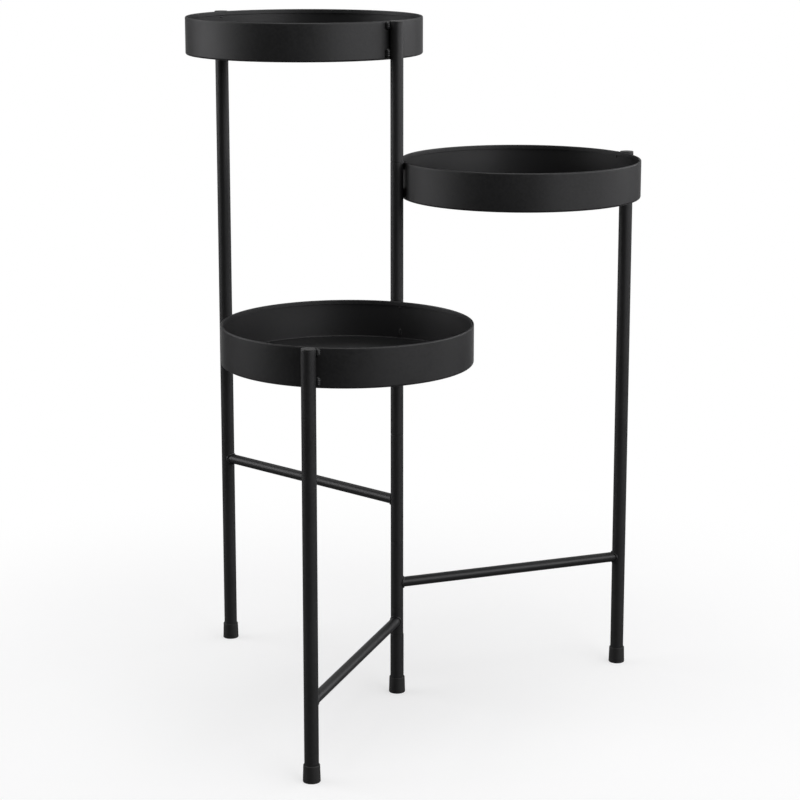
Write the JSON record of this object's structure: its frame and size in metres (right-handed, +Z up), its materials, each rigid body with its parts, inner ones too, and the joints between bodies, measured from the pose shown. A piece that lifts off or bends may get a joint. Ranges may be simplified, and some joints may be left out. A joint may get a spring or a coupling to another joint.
{
  "type": "plant stand",
  "caption": "Folding tiered plant stand of black powder-coated steel: round trays on legs that swing about one upright column.",
  "frame": {"origin": "centre of the column foot's sole, on the floor", "axes": "+Z up along the column, +Y from the low tray in front towards the top tray at the back, +X towards the middle tray"},
  "size_m": [0.5338, 0.5296, 0.802],
  "materials": {
    "tray_paint": "black satin powder coat on sheet steel, with a fine grain",
    "tube_paint": "black satin powder coat on steel tube, with a fine grain",
    "weld_paint": "weld beads under the same black powder coat",
    "plug_plastic": "black moulded plastic",
    "foot_rubber": "black rubber, slightly dull",
    "rod_steel": "zinc-plated drawn steel",
    "screw_steel": "zinc-plated steel",
    "washer_plastic": "black nylon"
  },
  "bodies": {
    "top_wing": {"top_tray": "tray_paint", "top_leg": "tube_paint", "top_leg_plug": "plug_plastic", "top_leg_foot": "foot_rubber", "top_crossbar": "tube_paint", "top_tray_sleeve": "tube_paint", "top_bar_sleeve": "tube_paint", "top_welds": "weld_paint", "pivot_rod": "rod_steel", "base_tube": "tube_paint", "column_foot": "foot_rubber", "column_plug": "plug_plastic", "retaining_screw": "screw_steel", "swivel_washers": "washer_plastic"},
    "middle_wing": {"middle_tray": "tray_paint", "middle_leg": "tube_paint", "middle_leg_plug": "plug_plastic", "middle_leg_foot": "foot_rubber", "middle_crossbar": "tube_paint", "middle_tray_sleeve": "tube_paint", "middle_bar_sleeve": "tube_paint", "middle_welds": "weld_paint"},
    "low_wing": {"low_tray": "tray_paint", "low_leg": "tube_paint", "low_leg_plug": "plug_plastic", "low_leg_foot": "foot_rubber", "low_crossbar": "tube_paint", "low_tray_sleeve": "tube_paint", "low_bar_sleeve": "tube_paint", "low_welds": "weld_paint"}
  },
  "joints": [
    {"name": "middle_wing_swing", "type": "hinge", "parent": "top_wing", "child": "middle_wing", "pos_m": [0, 0, 0.56], "axis": [0, 0, 1], "range_deg": [-60, 110]},
    {"name": "low_wing_swing", "type": "hinge", "parent": "top_wing", "child": "low_wing", "pos_m": [0, 0, 0.4], "axis": [0, 0, 1], "range_deg": [-107, 60]}
  ]
}
